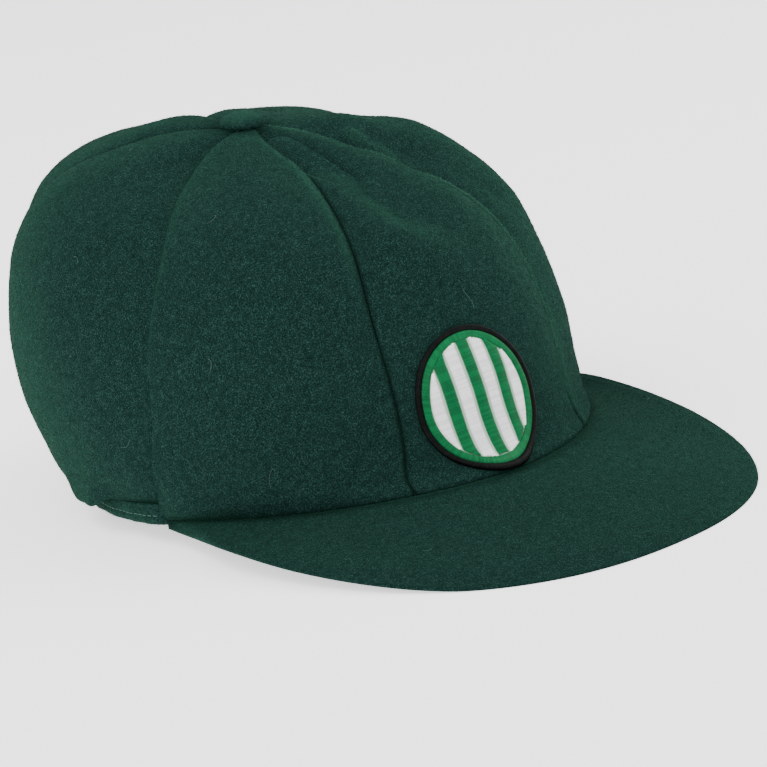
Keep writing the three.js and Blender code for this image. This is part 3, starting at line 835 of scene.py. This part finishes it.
# The hem's stitches. One row of sewing thread, in dashes that the tension of
# the thread sinks into the wool, holds the turned hem over its elastic.
STITCH_PITCH = 0.0027
STITCH_LONG = 0.0021
STITCH_THICK = 0.00034
STITCH_PROUD = 0.00012
STITCH_STEPS = 7
STITCH_SINK = 0.0006
STITCH_SINK_POWER = 5
STITCHES_FROM_END = 1
HEM_RUN_STEPS = 2000
TUBE_SIDES = 6


def spun_thread(name, colour, gloss=0.25):
    """Sewing or embroidery thread, glossier than the wool."""
    material = bpy.data.materials.new(name)
    material.use_nodes = True
    shader = material.node_tree.nodes["Principled BSDF"]
    shader.inputs["Base Color"].default_value = (*colour, 1)
    shader.inputs["Roughness"].default_value = 0.45
    shader.inputs["Specular IOR Level"].default_value = gloss
    return material


def threads(name, paths, normals, thick, materials, seed):
    """Short lengths of thread, each a round tube along its own path."""
    count, steps = paths.shape[:2]
    along = unit(np.gradient(paths, axis=1))
    aside = unit(np.cross(normals, along))
    upright = np.cross(along, aside)
    turn = np.arange(TUBE_SIDES) * 2 * math.pi / TUBE_SIDES
    ring = aside[:, :, None] * np.cos(turn)[:, None] + upright[:, :, None] * np.sin(turn)[:, None]
    points = (paths[:, :, None] + ring * thick / 2).reshape(-1, 3)
    side = np.arange(TUBE_SIDES)
    after = (side + 1) % TUBE_SIDES
    step = np.arange(steps - 1)[:, None] * TUBE_SIDES
    here = step + side
    beside = step + after
    walls = np.stack([here, beside, beside + TUBE_SIDES, here + TUBE_SIDES], axis=-1)
    last = (steps - 1) * TUBE_SIDES
    # Two quads close each end of a six-sided tube.
    ends = [[3, 2, 1, 0], [5, 4, 3, 0]]
    ends += [[last, last + 1, last + 2, last + 3], [last, last + 3, last + 4, last + 5]]
    one = np.concatenate([walls.reshape(-1, 4), ends])
    faces = (one[None] + (np.arange(count) * steps * TUBE_SIDES)[:, None, None]).reshape(-1, 4)
    mesh = bpy.data.meshes.new(name)
    mesh.from_pydata(laid(points), [], faces)
    for material in materials:
        mesh.materials.append(material)
    kinds = np.random.default_rng(seed).integers(0, len(materials), count)
    mesh.polygons.foreach_set("material_index", np.repeat(kinds, len(one)))
    mesh.shade_smooth()
    piece = bpy.data.objects.new(name, mesh)
    bpy.context.scene.collection.objects.link(piece)
    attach(piece, "root")
    return piece


fine_bearing = np.linspace(
    hem_ends[1] + STITCHES_FROM_END, hem_ends[0] - STITCHES_FROM_END, HEM_RUN_STEPS
)
fine_line = ring_point(np.zeros(HEM_RUN_STEPS), fine_bearing)
hem_run = np.concatenate([[0], np.linalg.norm(np.diff(fine_line, axis=0), axis=1).cumsum()])
stitch_places = np.arange(STITCH_PITCH, hem_run[-1] - STITCH_PITCH, STITCH_PITCH)
stitch_steps = np.linspace(-0.5, 0.5, STITCH_STEPS)
stitch_bearing = np.interp(stitch_places[:, None] + stitch_steps * STITCH_LONG, hem_run, fine_bearing)
sewn_line, _, sewn_out = hem_faces(stitch_bearing, np.full_like(stitch_bearing, STITCH_UP / hem_tall))
proud = STITCH_PROUD - STITCH_SINK * np.abs(2 * stitch_steps) ** STITCH_SINK_POWER
threads(
    "hem_stitches",
    sewn_line + sewn_out * proud[:, None],
    sewn_out,
    STITCH_THICK,
    [spun_thread("hem_thread", (0.024, 0.092, 0.066))],
    seed=21,
)

# The badge. A plain oval patch of satin stitches on a stiff ground cloth, with
# green and white stripes, a green ring and an overlocked black border. It is
# sewn flat on the front gore.
BADGE_WIDTH = 0.042
BADGE_HEIGHT = 0.048
BADGE_LEVEL = 2.45
BADGE_BEARING = 2.0
BADGE_TURNS = 6
BADGE_STEP = 0.01
GROUND_STEPS = 61
GROUND_INSET = 0.0004
GROUND_BACK = 0.0002
GROUND_FACE = 0.0010
BORDER_WIDE = 0.0016
RING_WIDE = 0.0028
BORDER_THREADS = 380
RING_THREADS = 300
STRIPES = 7
SATIN_PITCH = 0.00042
SATIN_THICK = 0.00046
SATIN_PROUD = 0.00028
SATIN_STEPS = 5
SATIN_DIP = 0.0004
SATIN_DIP_POWER = 6
SHORTEST_STITCH = 0.0008
FIELD_UNDER_RING = 0.0004
RING_UNDER_BORDER = 0.0003
RING_PROUD = 0.0004
RING_SLANT = 0.02
BORDER_SLANT = 0.03
BORDER_ON_FACE = 0.72
BORDER_OUT = 0.0002
BORDER_PROUD = np.array([0.0009, 0.0013, 0.0015, 0.0015, 0.0013, 0.0008, 0.0001])
BORDER_THICK = 0.00044

badge_middle = ring_point(np.array(BADGE_LEVEL), BADGE_BEARING)
badge_out = ring_normal(np.array(BADGE_LEVEL), BADGE_BEARING)
badge_aside = unit(np.cross([0, 0, 1], badge_out))
badge_up = np.cross(badge_out, badge_aside)


def on_front_gore(wide, tall):
    """Points of the front gore at places measured across and up the badge."""
    level = np.full_like(wide, BADGE_LEVEL)
    bearing = np.full_like(wide, BADGE_BEARING)
    for _ in range(BADGE_TURNS):
        here = ring_point(level, bearing)
        higher = ring_point(level + BADGE_STEP, bearing) - here
        wider = ring_point(level, bearing + BADGE_STEP) - here
        here = here - badge_middle
        level = level + (tall - here @ badge_up) / (higher @ badge_up) * BADGE_STEP
        bearing = bearing + (wide - here @ badge_aside) / (wider @ badge_aside) * BADGE_STEP
    seams = between(SEAMS, level)
    low, high = seams[..., FRONT_LEFT], seams[..., FRONT_RIGHT]
    lean = (bearing - low) / (high - low) * 2 - 1
    skin, normal = crown_skin(level, bearing, lean, 0)
    width = np.linalg.norm(ring_point(level, high) - ring_point(level, low), axis=-1)
    away = (1 - np.abs(lean)) / 2 * width
    return skin + normal * uneven(skin, level, away, 0)[..., None], normal


def badge_edge(turn, inset):
    """The badge's oval, drawn in from its edge by an inset."""
    return (BADGE_WIDTH / 2 - inset) * np.cos(turn), (BADGE_HEIGHT / 2 - inset) * np.sin(turn)


def satin(name, start, end, arch, materials, seed):
    """Satin stitches from start to end, each a little proud of the ground."""
    share = np.linspace(0, 1, SATIN_STEPS)
    wide = start[0][:, None] * (1 - share) + end[0][:, None] * share
    tall = start[1][:, None] * (1 - share) + end[1][:, None] * share
    skin, normal = on_front_gore(wide, tall)
    proud = GROUND_FACE + arch - (arch + SATIN_DIP) * np.abs(2 * share - 1) ** SATIN_DIP_POWER
    paths = skin + normal * proud[:, None]
    threads(name, paths, normal, SATIN_THICK, materials, seed)


ground_steps = np.linspace(-1, 1, GROUND_STEPS)
columns, rows = np.meshgrid(ground_steps, ground_steps)
oval_wide = columns * np.sqrt(1 - rows**2 / 2) * (BADGE_WIDTH / 2 - GROUND_INSET)
oval_tall = rows * np.sqrt(1 - columns**2 / 2) * (BADGE_HEIGHT / 2 - GROUND_INSET)
ground_skin, ground_normal = on_front_gore(oval_wide, oval_tall)
ground = closed_sheet(
    "patch_ground",
    (ground_skin + ground_normal * GROUND_FACE)[:, ::-1],
    (ground_skin + ground_normal * GROUND_BACK)[:, ::-1],
)
ground.data.materials.append(spun_thread("ground_cloth", (0.30, 0.42, 0.34)))
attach(ground, "root")
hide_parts("badge")

white = [
    spun_thread("white_thread", (0.90, 0.91, 0.90)),
    spun_thread("shaded_white_thread", (0.78, 0.80, 0.78)),
]
green = [
    spun_thread("green_thread", (0.0010, 0.135, 0.040), 0.15),
    spun_thread("deep_green_thread", (0.0008, 0.100, 0.030), 0.15),
]
black = [
    spun_thread("black_thread", (0.0016, 0.0018, 0.0018), 0.08),
    spun_thread("dark_thread", (0.0040, 0.0044, 0.0044), 0.08),
]

# The striped field, in columns of level stitches that end inside the ring.
field_inset = BORDER_WIDE + RING_WIDE - FIELD_UNDER_RING
field_wide = BADGE_WIDTH / 2 - field_inset
field_tall = BADGE_HEIGHT / 2 - field_inset
satin_rows = np.arange(-field_tall + SATIN_PITCH, field_tall, SATIN_PITCH)
reach = field_wide * np.sqrt(1 - (satin_rows / field_tall) ** 2)
for stripe in range(STRIPES):
    from_side = np.clip(-field_wide + 2 * field_wide * stripe / STRIPES, -reach, reach)
    to_side = np.clip(-field_wide + 2 * field_wide * (stripe + 1) / STRIPES, -reach, reach)
    long_enough = to_side - from_side > SHORTEST_STITCH
    shift = 0.5 * SATIN_PITCH * (stripe % 2)
    start = (from_side[long_enough], satin_rows[long_enough] + shift)
    end = (to_side[long_enough], satin_rows[long_enough] + shift)
    colours = green if stripe % 2 else white
    satin(f"patch_stripe_{stripe + 1}", start, end, SATIN_PROUD, colours, seed=30 + stripe)

# The green ring, in stitches from its outer to its inner edge.
turn = np.linspace(0, 2 * math.pi, RING_THREADS + 1)[:-1]
satin(
    "patch_ring",
    badge_edge(turn, BORDER_WIDE - RING_UNDER_BORDER),
    badge_edge(turn + RING_SLANT, BORDER_WIDE + RING_WIDE),
    RING_PROUD,
    green,
    seed=40,
)

# The black border, overlocked from the face round the edge to the back.
turn = np.linspace(0, 2 * math.pi, BORDER_THREADS + 1)[:-1]
wrap = np.linspace(0, 1, len(BORDER_PROUD))
inset = BORDER_WIDE * (1 - np.minimum(wrap / BORDER_ON_FACE, 1))
inset = inset - BORDER_OUT * np.sin(math.pi * wrap)
border_wide, border_tall = badge_edge(turn[:, None] + BORDER_SLANT * (1 - wrap), inset)
skin, normal = on_front_gore(border_wide, border_tall)
border_paths = skin + normal * BORDER_PROUD[:, None]
threads("patch_border", border_paths, normal, BORDER_THICK, black, seed=41)

# The button. A round metal shell covered with wool that is gathered in under
# it, sewn through the point where the six gores meet.
BUTTON_RADIUS = 0.0076
BUTTON_HEIGHT = 0.0052
BUTTON_LIFT = 0.0005
BUTTON_STEM = [(0.0022, -0.002), (0.0023, -0.0002), (0.0052, -0.0003)]
BUTTON_WIDEST = 0.0012
BUTTON_BENEATH = 0.0016
BUTTON_FROM = -50
BUTTON_TURN = 140
BUTTON_STEPS = 24
BUTTON_LEAST = 0.0001
BUTTON_AROUND = 96
BUTTON_GATHERS = 14
BUTTON_FOLD = 0.00012
BUTTON_FOLD_RADIUS = 0.007
BUTTON_FACE_FOLD = 0.2
BUTTON_FIBRES = 1500
BUTTON_FIBRE_LIFTS = (10, 50)
# A painted highlight on the button's top and painted shade under its rim, by height.
BUTTON_SHADING_HEIGHTS = (0, 0.0015, 0.0048)
BUTTON_SHADING = (-0.8, 0, 0.3)

tips = (ring_point(np.array(float(TOP)), 0.0) + ring_point(np.array(float(TOP)), 180.0)) / 2
turn = np.linspace(0, 2 * math.pi, BUTTON_AROUND + 1)[:-1]
profile = list(BUTTON_STEM)
for step in range(BUTTON_STEPS + 1):
    angle = math.radians(BUTTON_FROM + BUTTON_TURN * step / BUTTON_STEPS)
    radius = max(BUTTON_RADIUS * math.cos(angle), BUTTON_LEAST)
    tall = BUTTON_HEIGHT - BUTTON_WIDEST if angle > 0 else BUTTON_BENEATH
    profile.append((radius, BUTTON_WIDEST + tall * math.sin(angle)))
rows = []
for radius, height in profile:
    folded = 1 if height < BUTTON_WIDEST else BUTTON_FACE_FOLD
    gathers = 1 - BUTTON_FOLD / BUTTON_FOLD_RADIUS * np.cos(BUTTON_GATHERS * turn) * folded
    across = radius * gathers * np.cos(turn)
    forward = radius * gathers * np.sin(turn)
    rows.append(np.stack([across, forward, 0 * turn + height], axis=-1))
rows = np.array(rows)
dip = math.radians(CROWN_TIP)
tip_forward = np.array(
    [
        [1, 0, 0],
        [0, math.cos(dip), -math.sin(dip)],
        [0, math.sin(dip), math.cos(dip)],
    ]
)
points = rows.reshape(-1, 3) @ tip_forward.T + tips + [0, 0, BUTTON_LIFT]
faces = []
for row in range(len(rows) - 1):
    for column in range(BUTTON_AROUND):
        after = (column + 1) % BUTTON_AROUND
        faces.append(
            [
                row * BUTTON_AROUND + column,
                row * BUTTON_AROUND + after,
                (row + 1) * BUTTON_AROUND + after,
                (row + 1) * BUTTON_AROUND + column,
            ]
        )
faces.append(list(range(BUTTON_AROUND))[::-1])
faces.append(list(range((len(rows) - 1) * BUTTON_AROUND, len(rows) * BUTTON_AROUND)))
mesh = bpy.data.meshes.new("covered_button")
mesh.from_pydata(laid(points).tolist(), [], faces)
mesh.shade_smooth()
# Painted shade under the button's rim and a painted highlight on its top.
button_light_and_shade = np.repeat(np.interp(rows[:, 0, 2], BUTTON_SHADING_HEIGHTS, BUTTON_SHADING), BUTTON_AROUND)
mesh.attributes.new("highlight_and_shade", "FLOAT", "POINT").data.foreach_set("value", button_light_and_shade)
button = bpy.data.objects.new("covered_button", mesh)
bpy.context.scene.collection.objects.link(button)
button.data.materials.append(crown_wool)
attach(button, "root")
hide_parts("button")
button_face = points.reshape(rows.shape)[len(BUTTON_STEM) :]
brushed("button_nap", button_face, BUTTON_FIBRES, seed=14, lifts=BUTTON_FIBRE_LIFTS, shares=FUZZ_SHARES)

# Loose hairs. Brushed wool sheds, so a few long pale fibres have worked out of
# the cloth and lie on its nap.
HAIRS_EACH = 3
HAIR_LENGTHS = (0.003, 0.008)
HAIR_THICK = 0.00008
HAIR_STEPS = 11
HAIR_BEND = 3.0
HAIR_HOOK = 2
HAIR_HEIGHTS = (0.0002, 0.0008)
HAIR_SINK = 0.7
HAIR_ROWS = (14, 20)
HAIR_COLUMNS = 12
HAIR_SEED = 61

draw = np.random.default_rng(HAIR_SEED)
hair_paths = []
hair_normals = []
for face in [*gore_faces.values(), peak_top]:
    for _ in range(HAIRS_EACH):
        row = draw.integers(HAIR_ROWS[0], face.shape[0] - HAIR_ROWS[1])
        column = draw.integers(HAIR_COLUMNS, face.shape[1] - HAIR_COLUMNS)
        normal = unit(
            np.cross(
                face[row + 1, column + 1] - face[row, column],
                face[row + 1, column] - face[row, column + 1],
            )
        )
        aside = unit(np.cross(normal, draw.normal(size=3)))
        forward = np.cross(normal, aside)
        along = np.linspace(-0.5, 0.5, HAIR_STEPS)
        angle = draw.uniform(-HAIR_BEND, HAIR_BEND) * along
        angle = angle + draw.uniform(-HAIR_HOOK, HAIR_HOOK) * along**2
        step = draw.uniform(*HAIR_LENGTHS) / HAIR_STEPS
        sideways = np.cumsum(np.sin(angle)) * step
        onward = np.cumsum(np.cos(angle)) * step
        height = draw.uniform(*HAIR_HEIGHTS) * (1 - HAIR_SINK * (2 * along) ** 2)
        hair_paths.append(
            face[row, column]
            + sideways[:, None] * aside
            + onward[:, None] * forward
            + height[:, None] * normal
        )
        hair_normals.append(np.tile(normal, (HAIR_STEPS, 1)))
threads(
    "loose_hairs",
    np.array(hair_paths),
    np.array(hair_normals),
    HAIR_THICK,
    [fibre_wool("pale_hair", (0.07, 0.15, 0.11)), fibre_wool("grey_hair", (0.09, 0.11, 0.10))],
    seed=HAIR_SEED + 1,
)

# The studio. A pale floor in a white room, a broad soft lamp above on the left,
# weaker ones above on the right and in front, and the camera where the
# photograph was taken from.
FLOOR_HALF = 4
FLOOR_DROP = 0.0001
PHOTO_SIZE = 767
RIM_MIDDLE_PIXEL = (341.16, 442.94)
PIXELS_PER_METRE = 2870
CAMERA_DISTANCE = 1.1
CAMERA_ROUND = math.radians(33.59)
CAMERA_ABOVE = math.radians(13.03)
CAMERA_ROLL = math.radians(-12.01)

floor_mesh = bpy.data.meshes.new("floor")
floor_corners = [(x * FLOOR_HALF, y * FLOOR_HALF, 0) for x, y in ((-1, -1), (1, -1), (1, 1), (-1, 1))]
floor_mesh.from_pydata(floor_corners, [], [(0, 1, 2, 3)])
floor = bpy.data.objects.new("floor", floor_mesh)
bpy.context.scene.collection.objects.link(floor)
floor.location.z = -FLOOR_DROP
paper = bpy.data.materials.new("pale_paper")
paper.use_nodes = True
paper.node_tree.nodes["Principled BSDF"].inputs["Base Color"].default_value = (0.9, 0.9, 0.9, 1)
paper.node_tree.nodes["Principled BSDF"].inputs["Roughness"].default_value = 0.8
paper.node_tree.nodes["Principled BSDF"].inputs["Emission Color"].default_value = (1, 1, 1, 1)
paper.node_tree.nodes["Principled BSDF"].inputs["Emission Strength"].default_value = 1.1
floor.data.materials.append(paper)

world = bpy.data.worlds.new("studio")
bpy.context.scene.world = world
world.use_nodes = True
world.node_tree.nodes["Background"].inputs["Color"].default_value = (1, 1, 1, 1)
world.node_tree.nodes["Background"].inputs["Strength"].default_value = 1.35


def lamp(name, place, aim, size, power):
    """A round soft lamp at a place, turned towards what it is aimed at."""
    data = bpy.data.lights.new(name, "AREA")
    data.shape = "DISK"
    data.size = size
    data.energy = power
    light = bpy.data.objects.new(name, data)
    light.location = place
    light.rotation_mode = "QUATERNION"
    light.rotation_quaternion = (Vector(aim) - Vector(place)).to_track_quat("-Z", "Y")
    bpy.context.scene.collection.objects.link(light)


lamp("key", (-0.8, 0.4, 1.5), (0, 0, 0.05), 1.2, 17)
lamp("fill", (0.9, -0.2, 1.1), (0, 0, 0.05), 1.0, 8)
lamp("front", (-0.9, -1.3, 0.5), (0, 0, 0.05), 0.9, 7)

round_about, above, roll = CAMERA_ROUND, CAMERA_ABOVE, CAMERA_ROLL
back = np.array(
    [-math.sin(round_about) * math.cos(above), -math.cos(round_about) * math.cos(above), math.sin(above)]
)
level_right = np.array([math.cos(round_about), -math.sin(round_about), 0])
level_up = np.cross(back, level_right)
right = math.cos(roll) * level_right + math.sin(roll) * level_up
up = -math.sin(roll) * level_right + math.cos(roll) * level_up
focal = PIXELS_PER_METRE * CAMERA_DISTANCE
aside = (PHOTO_SIZE / 2 - RIM_MIDDLE_PIXEL[0]) / focal
upward = (RIM_MIDDLE_PIXEL[1] - PHOTO_SIZE / 2) / focal
place = tip_back @ (back * CAMERA_DISTANCE) + rest_shift
back = unit(back - right * aside - up * upward)
right = unit(right - back * (right @ back))
up = np.cross(back, right)
camera = bpy.data.objects.new("camera", bpy.data.cameras.new("camera"))
bpy.context.scene.collection.objects.link(camera)
facing = Matrix((tip_back @ right, tip_back @ up, tip_back @ back)).transposed()
camera.matrix_world = Matrix.Translation(place) @ facing.to_4x4()
camera.data.lens = focal / PHOTO_SIZE * camera.data.sensor_width
camera.data.clip_start = 0.05
bpy.context.scene.camera = camera
